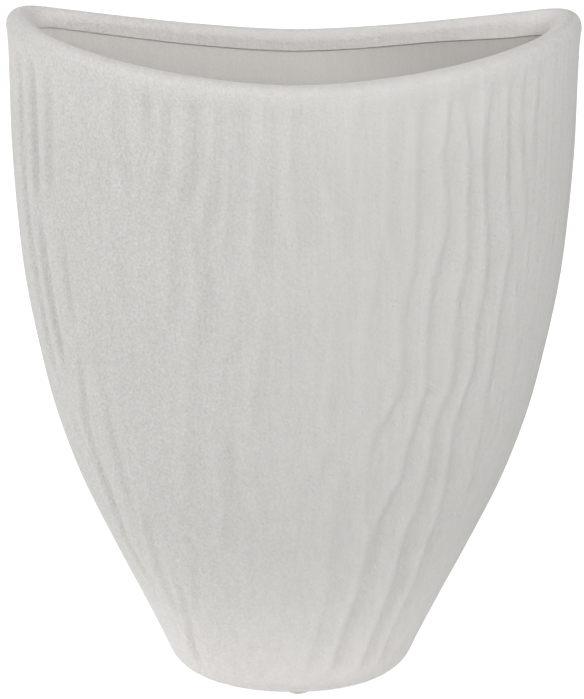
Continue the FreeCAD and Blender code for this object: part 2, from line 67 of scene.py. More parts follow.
FOOT_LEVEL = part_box("vase_body")[0].z
BODY_HEIGHT = 0.262
LIP_PROUD = 0.0003
LIP_BLEND = 0.006
MOUTH_WIDTH = 0.2194
MOUTH_DEPTH = 0.096
FOOT_WIDTH = 0.0885
FOOT_DEPTH = 0.055
FOOT_RADIUS = 0.0073
CORNER_RADIUS = 0.008
RIM_DIP = 0.0094
LIP_HEIGHT = 0.008
LIP_SAG = 0.002
LIP_SAG_START_SHARE = 0.5
LIP_SAG_SPAN_SHARE = 0.4
LIP_END_ROLL = 0.0025
LIP_ROLL_START_SHARE = 0.7
LIP_ROLL_SPAN_SHARE = 0.3
LIP_THICKNESS = 0.008
LIP_SIDE_THICKNESS = 0.012
LIP_STEP = 0.0005
WALL_THICKNESS = 0.0073
SIDE_WALL_THICKNESS = 0.0113
FLOOR_THICKNESS = 0.007
CAVITY_CORNER_RADIUS = 0.007
CAVITY_FLOOR_RADIUS = 0.006
LEAST_CORNER_RADIUS = 0.002
PLAN_POWER = 2.1
RIM_BOW_POWER = 1.6
RIM_EASE_POWER = 1.15

# Share of the height, share of the way from the foot's size to the mouth's.
OUTLINE_SHARES = (
    (0.00, 0.000), (0.05, 0.089), (0.12, 0.228), (0.20, 0.391), (0.30, 0.581), (0.40, 0.725),
    (0.50, 0.824), (0.60, 0.901), (0.70, 0.946), (0.80, 0.975), (0.90, 0.987), (1.00, 1.000),
)


def eased(share):
    share = min(max(share, 0.0), 1.0)
    return share * share * (3.0 - 2.0 * share)


def smooth_between(points, place):
    """Height of a smooth line through points with rising places, held level past its ends."""
    if place <= points[0][0]:
        return points[0][1]
    if place >= points[-1][0]:
        return points[-1][1]
    last = len(points) - 1
    i = max(k for k in range(last) if points[k][0] <= place)
    start, end = points[i], points[i + 1]
    before, after = points[max(i - 1, 0)], points[min(i + 2, last)]
    gap = end[0] - start[0]
    leaving = (end[1] - before[1]) / (end[0] - before[0])
    arriving = (after[1] - start[1]) / (after[0] - start[0])
    s = (place - start[0]) / gap
    line = start[1] + (end[1] - start[1]) * eased(s)
    return line + gap * (leaving * s * (1.0 - s) ** 2 - arriving * s * s * (1.0 - s))


class Plan:
    """One level of the vase: half its width, where its front and back lie, and its corners."""

    def __init__(self, half, front, back, corner):
        self.half = half
        self.front = front
        self.back = back
        self.corner = corner

    def inset(self, side, front, back, corner):
        return Plan(self.half - side, self.front - front, self.back + back, corner)

    def point(self, column):
        kind, side, share = column
        shoulder = self.back + self.corner
        turn = share * math.pi / 2
        if kind == "front":
            across = math.copysign(abs(math.sin(turn)) ** (2 / PLAN_POWER), turn)
            ahead = abs(math.cos(turn)) ** (2 / PLAN_POWER) if abs(share) < 1.0 else 0.0
            return across * self.half, -(shoulder + (self.front - shoulder) * ahead)
        if kind == "corner":
            x = self.half - self.corner * (1.0 - math.cos(turn))
            return side * x, -(shoulder - self.corner * math.sin(turn))
        return share * (self.half - self.corner), -self.back


def outer_plan(height):
    opened = smooth_between(OUTLINE_SHARES, height / BODY_HEIGHT)
    width = FOOT_WIDTH + (MOUTH_WIDTH - FOOT_WIDTH) * opened
    front = FOOT_DEPTH + (MOUTH_DEPTH - FOOT_DEPTH) * opened
    return Plan(width / 2, front, 0.0, CORNER_RADIUS)


def cavity_plan(height):
    return outer_plan(height).inset(
        SIDE_WALL_THICKNESS, WALL_THICKNESS, WALL_THICKNESS, CAVITY_CORNER_RADIUS)


def rim_height(across):
    """Height of the rim over a point at this share of the plan's half width."""
    bow = max(1.0 - abs(across) ** RIM_BOW_POWER, 0.0)
    return BODY_HEIGHT - RIM_DIP * bow ** RIM_EASE_POWER


def lip_height(across):
    """Height of the lip inside the mouth, which sags a little towards its right end."""
    return LIP_HEIGHT + LIP_SAG * eased((across - LIP_SAG_START_SHARE) / LIP_SAG_SPAN_SHARE)


# Every flute is a narrow groove with a low ridge along its left side: the clay drops steeply
# from the ridge and climbs back slowly on the right. Each row of FLUTE_SHARES is a share of
# FLUTE_DEPTH and the groove's path from the top down: share of the height, share of the way
# round the front from its middle (0) to a side (-1 or 1). A share below zero is a raised rib.

FLUTE_DEPTH = 0.0016
FLUTE_BOTTOM = 0.0024
FLUTE_FALL = 0.0022
FLUTE_CLIMB = 0.0036
FLUTE_RIDGE_SHARE = 0.35
FLUTE_RIDGE_OFFSET = 0.0018
FLUTE_RIDGE_WIDTH = 0.0024
# Painted shade down each flute's steep side and a painted highlight on its ridge, as light from the
# left would fall: where they lie and how wide.
PAINTED_SHADE_OFFSET = 0.0008
PAINTED_SHADE_START = 0.0010
PAINTED_SHADE_END = 0.0022
PAINTED_SHADE_SPREAD = 2.4
PAINTED_HIGHLIGHT_SHARE = 0.45
PAINTED_HIGHLIGHT_OFFSET = 0.0028
PAINTED_HIGHLIGHT_WIDTH = 0.0019
LIP_LINE_PAINTED_SHADE = 0.9
FLUTE_END_SHARE = 0.035
FLUTE_REACH = 0.011
FLUTE_FADE_TOP = 0.0035
FLUTE_FADE_FOOT = 0.005
SIDE_FADE_SHARE = 0.03
FLUTE_SHARES = (
    (0.74, ((0.98, -0.815), (0.90, -0.811), (0.80, -0.811), (0.75, -0.809), (0.70, -0.802),
           (0.65, -0.789), (0.60, -0.779), (0.50, -0.784))),
    (0.90, ((0.97, -0.725), (0.90, -0.724), (0.84, -0.721), (0.80, -0.722), (0.76, -0.725))),
    (0.88, ((0.72, -0.717), (0.68, -0.714), (0.64, -0.708), (0.60, -0.704), (0.55, -0.701),
           (0.51, -0.699))),
    (0.70, ((0.95, -0.639), (0.90, -0.643), (0.85, -0.647), (0.80, -0.650), (0.77, -0.655))),
    (0.64, ((0.72, -0.613), (0.68, -0.614), (0.63, -0.609), (0.58, -0.607))),
    (0.20, ((0.53, -0.792), (0.47, -0.757), (0.42, -0.722), (0.37, -0.677), (0.33, -0.632))),
    (0.54, ((0.54, -0.603), (0.50, -0.612), (0.46, -0.627), (0.42, -0.637), (0.38, -0.641),
           (0.34, -0.643), (0.30, -0.644))),
    (0.55, ((0.32, -0.627), (0.28, -0.645), (0.24, -0.665), (0.21, -0.670), (0.18, -0.650),
           (0.155, -0.617))),
    (0.45, ((0.55, -0.521), (0.50, -0.525), (0.45, -0.528), (0.40, -0.528), (0.35, -0.531),
           (0.29, -0.538))),
    (0.47, ((0.30, -0.470), (0.265, -0.491), (0.22, -0.517), (0.20, -0.528), (0.175, -0.529),
           (0.14, -0.532), (0.10, -0.540))),
    (0.76, ((0.17, -0.445), (0.125, -0.478), (0.09, -0.505), (0.06, -0.532), (0.03, -0.545))),
    (0.50, ((0.26, -0.324), (0.22, -0.346), (0.20, -0.359), (0.17, -0.379), (0.14, -0.406),
           (0.12, -0.430))),
    (0.14, ((0.96, -0.512), (0.90, -0.509), (0.84, -0.519), (0.76, -0.552))),
    (0.30, ((0.88, -0.466), (0.84, -0.466), (0.79, -0.466))),
    (0.68, ((0.97, -0.412), (0.90, -0.419), (0.86, -0.408), (0.81, -0.388))),
    (0.30, ((0.72, -0.417), (0.64, -0.412), (0.59, -0.400))),
    (1.10, ((0.99, -0.331), (0.95, -0.336), (0.88, -0.338))),
    (0.80, ((0.98, -0.281), (0.93, -0.290), (0.88, -0.296), (0.84, -0.304), (0.80, -0.311))),
    (0.80, ((0.80, -0.274), (0.75, -0.276), (0.70, -0.280), (0.65, -0.286), (0.61, -0.293))),
    (1.27, ((0.98, -0.229), (0.90, -0.231), (0.86, -0.233), (0.83, -0.241), (0.80, -0.250))),
    (1.03, ((0.77, -0.221), (0.74, -0.211), (0.70, -0.206), (0.66, -0.206), (0.62, -0.213),
           (0.60, -0.217), (0.57, -0.226))),
    (0.55, ((0.61, -0.247), (0.57, -0.245), (0.53, -0.248), (0.50, -0.252), (0.45, -0.261),
           (0.41, -0.270), (0.38, -0.277), (0.34, -0.285))),
    (1.28, ((0.97, -0.164), (0.89, -0.167), (0.85, -0.171), (0.82, -0.178), (0.79, -0.187),
           (0.76, -0.196))),
    (0.55, ((0.69, -0.114), (0.64, -0.122), (0.60, -0.135), (0.56, -0.150), (0.51, -0.164),
           (0.47, -0.174))),
    (0.73, ((0.45, -0.174), (0.42, -0.173), (0.38, -0.175), (0.34, -0.179), (0.30, -0.192),
           (0.26, -0.213))),
    (-0.75, ((0.43, -0.134), (0.39, -0.139))),
    (1.00, ((0.98, -0.126), (0.92, -0.128), (0.86, -0.131), (0.82, -0.135), (0.78, -0.143),
           (0.74, -0.152), (0.71, -0.156))),
    (0.90, ((0.98, -0.059), (0.93, -0.059), (0.88, -0.063), (0.83, -0.068), (0.80, -0.070),
           (0.75, -0.074), (0.71, -0.076))),
    (0.68, ((0.64, -0.065), (0.59, -0.067), (0.53, -0.082), (0.48, -0.093), (0.43, -0.098))),
    (0.60, ((0.40, -0.106), (0.37, -0.101), (0.34, -0.092), (0.30, -0.089))),
    (-0.45, ((0.39, -0.069), (0.35, -0.074))),
    (0.65, ((0.225, -0.129), (0.195, -0.129))),
    (0.77, ((0.97, -0.007), (0.90, -0.002), (0.85, 0.002), (0.80, 0.007), (0.74, 0.010))),
    (0.15, ((0.67, 0.006), (0.63, -0.004), (0.60, -0.023), (0.56, -0.028), (0.53, -0.023))),
    (0.32, ((0.195, -0.015), (0.168, -0.041))),
    (0.58, ((0.64, 0.082), (0.58, 0.082), (0.51, 0.084), (0.46, 0.084))),
    (0.95, ((0.41, 0.066), (0.39, 0.067))),
    (0.60, ((0.93, 0.037), (0.90, 0.044), (0.86, 0.057), (0.82, 0.077), (0.78, 0.086),
           (0.745, 0.092))),
    (0.65, ((0.36, 0.123), (0.32, 0.110), (0.28, 0.110), (0.23, 0.114), (0.20, 0.121),
           (0.17, 0.121), (0.14, 0.110), (0.10, 0.095), (0.05, 0.075), (0.02, 0.064))),
    (0.50, ((0.95, 0.120), (0.90, 0.125), (0.84, 0.131))),
    (0.68, ((0.79, 0.203), (0.75, 0.217), (0.72, 0.224))),
    (0.42, ((0.96, 0.203), (0.90, 0.203), (0.80, 0.201), (0.76, 0.191), (0.72, 0.181),
           (0.68, 0.176), (0.65, 0.168), (0.62, 0.161), (0.58, 0.163), (0.54, 0.172),
           (0.50, 0.181))),
    (0.70, ((1.00, 0.281), (0.95, 0.275), (0.90, 0.266), (0.80, 0.268), (0.71, 0.270),
           (0.68, 0.259), (0.65, 0.253), (0.51, 0.253), (0.48, 0.231), (0.45, 0.204),
           (0.42, 0.193), (0.36, 0.196), (0.31, 0.211), (0.28, 0.228))),
    (0.66, ((1.00, 0.349), (0.90, 0.341), (0.87, 0.336), (0.83, 0.342), (0.80, 0.347),
           (0.76, 0.348), (0.73, 0.338), (0.70, 0.327), (0.66, 0.317), (0.64, 0.314),
           (0.60, 0.318), (0.55, 0.323), (0.515, 0.331), (0.48, 0.317), (0.45, 0.307))),
    (0.85, ((0.45, 0.307), (0.42, 0.299), (0.37, 0.296), (0.345, 0.276), (0.32, 0.263),
           (0.29, 0.250), (0.26, 0.240))),
    (1.15, ((0.26, 0.239), (0.22, 0.237), (0.19, 0.237), (0.16, 0.231), (0.13, 0.222),
           (0.10, 0.211), (0.05, 0.198), (0.02, 0.190))),
    (0.63, ((0.97, 0.377), (0.93, 0.388), (0.90, 0.396), (0.87, 0.405), (0.80, 0.407),
           (0.75, 0.410), (0.70, 0.413), (0.68, 0.409), (0.65, 0.399), (0.60, 0.399),
           (0.55, 0.406), (0.51, 0.410), (0.49, 0.392), (0.465, 0.381), (0.44, 0.374))),
    (0.80, ((0.44, 0.374), (0.40, 0.377), (0.35, 0.382), (0.31, 0.379), (0.28, 0.365),
           (0.25, 0.361))),
    (1.23, ((0.25, 0.367), (0.21, 0.371), (0.18, 0.380), (0.10, 0.372), (0.05, 0.365),
           (0.02, 0.361))),
    (0.73, ((1.00, 0.459), (0.95, 0.460), (0.90, 0.451), (0.85, 0.450), (0.80, 0.456),
           (0.75, 0.467), (0.70, 0.475), (0.66, 0.476), (0.60, 0.465), (0.55, 0.470),
           (0.52, 0.472), (0.48, 0.456), (0.44, 0.442), (0.40, 0.448), (0.35, 0.462),
           (0.30, 0.472), (0.25, 0.476))),
    (1.30, ((0.25, 0.474), (0.20, 0.488), (0.15, 0.489), (0.05, 0.479), (0.02, 0.477))),
    (0.43, ((1.00, 0.515), (0.95, 0.521), (0.90, 0.519), (0.85, 0.523), (0.80, 0.528),
           (0.75, 0.543), (0.71, 0.559), (0.68, 0.552), (0.65, 0.545), (0.60, 0.541),
           (0.55, 0.541), (0.50, 0.546), (0.45, 0.550), (0.40, 0.557), (0.35, 0.574),
           (0.30, 0.593))),
    (0.35, ((0.97, 0.564), (0.90, 0.566), (0.85, 0.575), (0.80, 0.592), (0.76, 0.603),
           (0.72, 0.601), (0.69, 0.595))),
    (0.17, ((0.64, 0.612), (0.60, 0.617), (0.55, 0.637), (0.50, 0.647))),
    (0.32, ((0.99, 0.625), (0.93, 0.630), (0.88, 0.624), (0.81, 0.625))),
    (0.05, ((0.95, 0.689), (0.82, 0.689))),
)


def flute_profile(distance):
    """Depth across one flute, as a share of its full depth."""
    past = distance - FLUTE_BOTTOM
    groove = math.exp(-(past / (FLUTE_FALL if past < 0.0 else FLUTE_CLIMB)) ** 2)
    ridge = math.exp(-((distance + FLUTE_RIDGE_OFFSET) / FLUTE_RIDGE_WIDTH) ** 2)
    return FLUTE_RIDGE_SHARE * ridge - groove


def flute_painted_shade(distance, place):
    """Painted light across one flute: painted shade down its steep side, over a width that grows to the
    right of the front's middle, and a painted highlight on its ridge."""
    past = distance - PAINTED_SHADE_OFFSET
    ending = PAINTED_SHADE_END * (1.0 + PAINTED_SHADE_SPREAD * max(place, 0.0))
    dark = math.exp(-(past / (PAINTED_SHADE_START if past < 0.0 else ending)) ** 2)
    painted_highlight = math.exp(-((distance + PAINTED_HIGHLIGHT_OFFSET) / PAINTED_HIGHLIGHT_WIDTH) ** 2)
    return PAINTED_HIGHLIGHT_SHARE * painted_highlight - dark


def flutes_at(height_share):
    """Strength and place of every flute's edge that crosses this level."""
    crossing = []
    for strength, path in FLUTE_SHARES:
        inside = min(path[0][0] - height_share, height_share - path[-1][0])
        fade = eased((inside + FLUTE_END_SHARE) / (2 * FLUTE_END_SHARE))
        if fade > 0.0:
            crossing.append((strength * fade, smooth_between(path[::-1], height_share)))
    return crossing


def carve(points, columns, plan, height):
    """Cuts the flutes into one level's front; returns each point and its flutes' painted shade."""
    near_lip = eased((BODY_HEIGHT - LIP_HEIGHT - height) / FLUTE_FADE_TOP)
    near_foot = eased((height - FOOT_RADIUS) / FLUTE_FADE_FOOT)
    crossing = flutes_at(height / BODY_HEIGHT)
    ahead = plan.front - plan.back - plan.corner
    quarter = math.pi / 2 * math.sqrt((plan.half ** 2 + ahead ** 2) / 2)
    carved = []
    for (x, y), (kind, side, share) in zip(points, columns):
        raised, painted_shade = 0.0, 0.0
        if kind == "front":
            fade = near_lip * near_foot * eased((1.0 - abs(share)) / SIDE_FADE_SHARE)
            for strength, place in crossing:
                distance = (share - place) * quarter
                if abs(distance) < FLUTE_REACH:
                    raised += fade * strength * flute_profile(distance)
                    painted_shade += fade * strength * flute_painted_shade(distance, place)
            normal = Vector((x / plan.half ** 2, (y + plan.back + plan.corner) / ahead ** 2))
            normal.normalize()
            x += FLUTE_DEPTH * raised * normal.x
            y += FLUTE_DEPTH * raised * normal.y
        carved.append((x, y, painted_shade))
    return carved


FRONT_STEPS = 480
CORNER_STEPS = 7
BACK_STEPS = 24
FOOT_STEPS = 8
WALL_STEPS = 112
LIP_STEPS = 14
CAVITY_STEPS = 22
MERGE_DISTANCE = 1e-6

right_corner = [("corner", 1, 1.0 - i / CORNER_STEPS) for i in range(CORNER_STEPS)]
left_corner = [("corner", -1, share) for kind, side, share in reversed(right_corner)]
shell_columns = (
    right_corner
    + [("front", 0, 1.0 - 2.0 * i / FRONT_STEPS) for i in range(FRONT_STEPS + 1)]
    + left_corner
    + [("back", 0, 2.0 * i / BACK_STEPS - 1.0) for i in range(1, BACK_STEPS)]
)


def level(plan, height_of, carved_at=None):
    """One row of the shell: each point, lifted to its height, and its painted shade."""
    points = [(*plan.point(column), 0.0) for column in shell_columns]
    shares = [x / plan.half for x, y, painted_shade in points]
    if carved_at is not None:
        points = carve([(x, y) for x, y, painted_shade in points], shell_columns, plan, carved_at)
    return [
        Vector((x, y, FOOT_LEVEL + height_of(share), painted_shade))
        for (x, y, painted_shade), share in zip(points, shares)]


shell_rows = []
for i in range(FOOT_STEPS + 1):
    turn = i / FOOT_STEPS * math.pi / 2
    rolled = FOOT_RADIUS * (1.0 - math.cos(turn))
    inset = FOOT_RADIUS * (1.0 - math.sin(turn))
    corner = max(CORNER_RADIUS - inset, LEAST_CORNER_RADIUS)
    plan = outer_plan(rolled).inset(inset, inset, inset, corner)
    shell_rows.append(level(plan, lambda across: rolled))

wall_span = BODY_HEIGHT - LIP_HEIGHT - FOOT_RADIUS
for i in range(1, WALL_STEPS + 1):
    risen = i / WALL_STEPS
    height = FOOT_RADIUS + wall_span * risen
    proud = LIP_PROUD * eased(1.0 - (1.0 - risen) * wall_span / LIP_BLEND)
    shell_rows.append(level(
        outer_plan(height).inset(-proud, -proud, 0.0, CORNER_RADIUS),
        lambda across: FOOT_RADIUS + (rim_height(across) - LIP_HEIGHT - FOOT_RADIUS) * risen,
        carved_at=height))

band = outer_plan(BODY_HEIGHT).inset(-LIP_PROUD, -LIP_PROUD, 0.0, CORNER_RADIUS)
mouth = band.inset(
    LIP_SIDE_THICKNESS + LIP_PROUD, LIP_THICKNESS + LIP_PROUD, LIP_THICKNESS, CAVITY_CORNER_RADIUS)
outside, inside = level(band, rim_height), level(mouth, rim_height)
lip_middle = len(shell_rows) + LIP_STEPS // 2
for i in range(LIP_STEPS + 1):
    turn = i / LIP_STEPS * math.pi
    over = (1.0 - math.cos(turn)) / 2
    row = []
    for a, b in zip(outside, inside):
        point = a.lerp(b, over)
        across = a.x / band.half
        at_end = eased((abs(across) - LIP_ROLL_START_SHARE) / LIP_ROLL_SPAN_SHARE)
        roll = LIP_THICKNESS / 2 + LIP_END_ROLL * at_end
        point.z = FOOT_LEVEL + rim_height(across) - roll * (1.0 - math.sin(turn))
        row.append(point)
    shell_rows.append(row)
for left in (2 * LIP_STEP, LIP_STEP):
    shell_rows.append(level(mouth, lambda across: rim_height(across) - lip_height(across) + left))
lip_foot = len(shell_rows)

cavity_bottom = FLOOR_THICKNESS + CAVITY_FLOOR_RADIUS
cavity_top = BODY_HEIGHT - LIP_HEIGHT
for i in range(CAVITY_STEPS + 1):
    sunk = i / CAVITY_STEPS
    height = cavity_top + (cavity_bottom - cavity_top) * sunk
    shell_rows.append(level(
        cavity_plan(height),
        lambda across: (rim_height(across) - lip_height(across)) * (1.0 - sunk) + cavity_bottom * sunk))
for i in range(1, FOOT_STEPS + 1):
    turn = i / FOOT_STEPS * math.pi / 2
    rolled = cavity_bottom - CAVITY_FLOOR_RADIUS * math.sin(turn)
    inset = CAVITY_FLOOR_RADIUS * (1.0 - math.cos(turn))
    corner = max(CAVITY_CORNER_RADIUS - inset, LEAST_CORNER_RADIUS)
    plan = cavity_plan(rolled).inset(inset, inset, inset, corner)
    shell_rows.append(level(plan, lambda across: rolled))

# Painted light: the colour is lifted to a paler, lit colour at the foot, for light bounced up from the
# floor, on the lip, most on its top and inner face, and just inside the mouth, less towards the
# cavity's right end, which is left in painted shade.
PAINTED_LIGHT_FOOT_SHARE = 0.80
PAINTED_LIGHT_FOOT_HEIGHT = 0.078
PAINTED_LIGHT_LIP_SHARE = 0.26
PAINTED_LIGHT_TOP_SHARE = 0.75
PAINTED_LIGHT_LIP_START = 0.045
PAINTED_LIGHT_LIP_SPAN = 0.036
PAINTED_LIGHT_TOP_SPAN = 0.006
PAINTED_LIGHT_CAVITY_DEPTH = 0.035
PAINTED_LIGHT_CAVITY_RIGHT_SHARE = 0.6

# The shell: a flat unit grid whose points are moved to the rows' places, joined at its seam
# and closed under the foot and on the cavity's floor.
shell = bmesh.new()
# Each point carries its painted shade (flutes and the lip's crease) and its amount of painted light.
painted_shade_mark = shell.verts.layers.float.new("painted_shade")
painted_light_mark = shell.verts.layers.float.new("painted_light")
around, along = len(shell_columns), len(shell_rows) - 1
bmesh.ops.create_grid(shell, x_segments=around, y_segments=along, size=0.5)
row_of = {}
for vertex in shell.verts:
    column = round((vertex.co.x + 0.5) * around) % around
    row = round((vertex.co.y + 0.5) * along)
    place = shell_rows[row][column]
    vertex.co = place.to_3d()
    row_of[vertex] = row
    vertex[painted_shade_mark] = place.w
    above_foot = place.z - FOOT_LEVEL
    # Outside: painted light on the lip near the rim, strongest on its top, and painted bounce light at
    # the foot.
    if row < lip_middle:
        below_rim = rim_height(2.0 * place.x / MOUTH_WIDTH) - above_foot
        near_rim = PAINTED_LIGHT_LIP_SHARE * eased((PAINTED_LIGHT_LIP_START - below_rim) / PAINTED_LIGHT_LIP_SPAN)
        near_rim += (PAINTED_LIGHT_TOP_SHARE - PAINTED_LIGHT_LIP_SHARE) * eased(1.0 - below_rim / PAINTED_LIGHT_TOP_SPAN)
        near_floor = PAINTED_LIGHT_FOOT_SHARE * eased(1.0 - above_foot / PAINTED_LIGHT_FOOT_HEIGHT)
        vertex[painted_light_mark] = max(near_rim, near_floor)
    # The lip's inner face: full painted light.
    elif row < lip_foot:
        vertex[painted_light_mark] = 1.0
    else:
        # Inside: painted light just under the lip, fading deeper down and towards the right end, which
        # stays in painted shade.
        below_lip = BODY_HEIGHT - RIM_DIP - LIP_HEIGHT - above_foot
        from_right = 1.0 - eased(2.0 * place.x / MOUTH_WIDTH / PAINTED_LIGHT_CAVITY_RIGHT_SHARE)
        vertex[painted_light_mark] = from_right * eased(1.0 - below_lip / PAINTED_LIGHT_CAVITY_DEPTH)
    # A painted shadow along the crease under the lip's inner band.
    if row in (lip_foot - 1, lip_foot):
        vertex[painted_shade_mark] = -LIP_LINE_PAINTED_SHADE
inner_faces = {
    face for face in shell.faces
    if min(row_of[vertex] for vertex in face.verts) >= lip_foot - 1
}
bmesh.ops.remove_doubles(shell, verts=shell.verts, dist=MERGE_DISTANCE)
open_edges = [edge for edge in shell.edges if edge.is_boundary]
bmesh.ops.holes_fill(shell, edges=open_edges, sides=0)
bmesh.ops.recalc_face_normals(shell, faces=shell.faces)
for face in shell.faces:
    face.smooth = True
    face.material_index = 1 if face in inner_faces else 0

shell_mesh = bpy.data.meshes.new("clay_shell")
shell.to_mesh(shell_mesh)
shell.free()
clay_shell = bpy.data.objects.new("clay_shell", shell_mesh)
bpy.context.scene.collection.objects.link(clay_shell)

# The keyhole: an entry hole for the screw's head at the origin, and the slot above it.
KEYHOLE_ENTRY_RADIUS = 0.005
KEYHOLE_SLOT_WIDTH = 0.005
KEYHOLE_RISE = 0.010
KEYHOLE_OVERRUN = 0.002
KEYHOLE_ARC_STEPS = 40
KEYHOLE_CAP_STEPS = 16
SHARP_ANGLE = math.radians(50.0)

slot_angle = math.asin(KEYHOLE_SLOT_WIDTH / 2 / KEYHOLE_ENTRY_RADIUS)
keyhole_outline = []
for i in range(KEYHOLE_ARC_STEPS + 1):
    turn = math.pi / 2 + slot_angle + (2 * math.pi - 2 * slot_angle) * i / KEYHOLE_ARC_STEPS
    keyhole_outline.append((
        KEYHOLE_ENTRY_RADIUS * math.cos(turn), KEYHOLE_ENTRY_RADIUS * math.sin(turn)))
for i in range(KEYHOLE_CAP_STEPS + 1):
    turn = math.pi * i / KEYHOLE_CAP_STEPS
    keyhole_outline.append((
        KEYHOLE_SLOT_WIDTH / 2 * math.cos(turn),
        KEYHOLE_RISE + KEYHOLE_SLOT_WIDTH / 2 * math.sin(turn)))
keyhole = bmesh.new()
outline_face = keyhole.faces.new([
    keyhole.verts.new((x, KEYHOLE_OVERRUN, z)) for x, z in keyhole_outline])
pushed = bmesh.ops.extrude_face_region(keyhole, geom=[outline_face])
bmesh.ops.translate(
    keyhole, vec=(0, -WALL_THICKNESS - 2 * KEYHOLE_OVERRUN, 0),
    verts=[thing for thing in pushed["geom"] if isinstance(thing, bmesh.types.BMVert)])
bmesh.ops.recalc_face_normals(keyhole, faces=keyhole.faces)
keyhole_mesh = bpy.data.meshes.new("keyhole_cutter")
keyhole.to_mesh(keyhole_mesh)
keyhole.free()
keyhole_cutter = bpy.data.objects.new("keyhole_cutter", keyhole_mesh)
bpy.context.scene.collection.objects.link(keyhole_cutter)
cut = clay_shell.modifiers.new("keyhole", "BOOLEAN")
cut.operation = "DIFFERENCE"
cut.solver = "EXACT"
cut.object = keyhole_cutter
bpy.context.view_layer.update()
evaluated = clay_shell.evaluated_get(bpy.context.evaluated_depsgraph_get())
shell_mesh = bpy.data.meshes.new_from_object(evaluated)
clay_shell.modifiers.clear()
clay_shell.data = shell_mesh
bpy.data.objects.remove(keyhole_cutter)
edging = bmesh.new()
edging.from_mesh(shell_mesh)
for edge in edging.edges:
    if edge.is_manifold and edge.calc_face_angle() > SHARP_ANGLE:
        edge.smooth = False
edging.to_mesh(shell_mesh)
edging.free()

# The clay's surface: coarse sand grains, and faint upright streaks left by the carving tool.
# Both tint the colour about its own value and raise the surface.
STREAK_STRETCH = (1.0, 1.0, 0.07)
STREAK_SCALE = 300.0
STREAK_DETAIL = 2.0
STREAK_HEIGHT = 1.5
GRAIN_SCALE = 1050.0
GRAIN_DETAIL = 3.0
NOISE_MIDDLE = 0.5
SAND_DISTANCE = 0.0006


def feed(tree, entry, source):
    """Links a socket to a node's entry, or sets the entry to a number or colour."""
    if isinstance(source, bpy.types.NodeSocket):
        tree.links.new(source, entry)
    else:
        entry.default_value = source


def reckoned(tree, operation, *sources):
    """What a Math node works out from these sockets and numbers."""
    node = tree.nodes.new("ShaderNodeMath")
    node.operation = operation
    for entry, source in zip(node.inputs, sources):
        feed(tree, entry, source)
    return node.outputs["Value"]


def scaled(tree, vector, factor):
    """This vector or colour times a factor."""
    node = tree.nodes.new("ShaderNodeVectorMath")
    node.operation = "SCALE"
    feed(tree, node.inputs[0], vector)
    feed(tree, node.inputs["Scale"], factor)
    return node.outputs["Vector"]


def noise(tree, scale, detail, vector):
    """A noise that varies about NOISE_MIDDLE over these coordinates."""
    texture = tree.nodes.new("ShaderNodeTexNoise")
    texture.inputs["Scale"].default_value = scale
    texture.inputs["Detail"].default_value = detail
    feed(tree, texture.inputs["Vector"], vector)
    return texture.outputs["Fac"]


sandy = bpy.data.node_groups.new("sandy_clay", "ShaderNodeTree")
sandy.interface.new_socket("Color", in_out="INPUT", socket_type="NodeSocketColor")
for strength in ("Streaks", "Speckle", "Relief"):
    sandy.interface.new_socket(strength, in_out="INPUT", socket_type="NodeSocketFloat")
sandy.interface.new_socket("Color", in_out="OUTPUT", socket_type="NodeSocketColor")
sandy.interface.new_socket("Normal", in_out="OUTPUT", socket_type="NodeSocketVector")
sandy_in = sandy.nodes.new("NodeGroupInput")
sandy_out = sandy.nodes.new("NodeGroupOutput")

place = sandy.nodes.new("ShaderNodeTexCoord").outputs["Object"]
drawn_out = sandy.nodes.new("ShaderNodeVectorMath")
drawn_out.operation = "MULTIPLY"
feed(sandy, drawn_out.inputs[0], place)
feed(sandy, drawn_out.inputs[1], STREAK_STRETCH)
streaks = noise(sandy, STREAK_SCALE, STREAK_DETAIL, drawn_out.outputs["Vector"])
grains = noise(sandy, GRAIN_SCALE, GRAIN_DETAIL, place)

tint = 1.0
for pattern, strength in ((streaks, "Streaks"), (grains, "Speckle")):
    about_middle = reckoned(sandy, "SUBTRACT", pattern, NOISE_MIDDLE)
    tint = reckoned(sandy, "MULTIPLY_ADD", about_middle, sandy_in.outputs[strength], tint)
feed(sandy, sandy_out.inputs["Color"], scaled(sandy, sandy_in.outputs["Color"], tint))

sand_bump = sandy.nodes.new("ShaderNodeBump")
sand_bump.inputs["Distance"].default_value = SAND_DISTANCE
raised_by = reckoned(sandy, "MULTIPLY_ADD", streaks, STREAK_HEIGHT, grains)
feed(sandy, sand_bump.inputs["Strength"], sandy_in.outputs["Relief"])
feed(sandy, sand_bump.inputs["Height"], raised_by)
feed(sandy, sandy_out.inputs["Normal"], sand_bump.outputs["Normal"])

# How the sand speckle's strength runs across the front, painted stronger to the left as light raking
# from that side would show it, and what is left of it where the painted light is strongest.
PAINTED_RAKE_LEFT_END = -0.8 * MOUTH_WIDTH / 2
PAINTED_RAKE_RIGHT_END = 0.6 * MOUTH_WIDTH / 2
PAINTED_RAKE_LEFT_SHARE = 2.75
PAINTED_RAKE_RIGHT_SHARE = 0.1
SPONGED_SHARE = 0.65


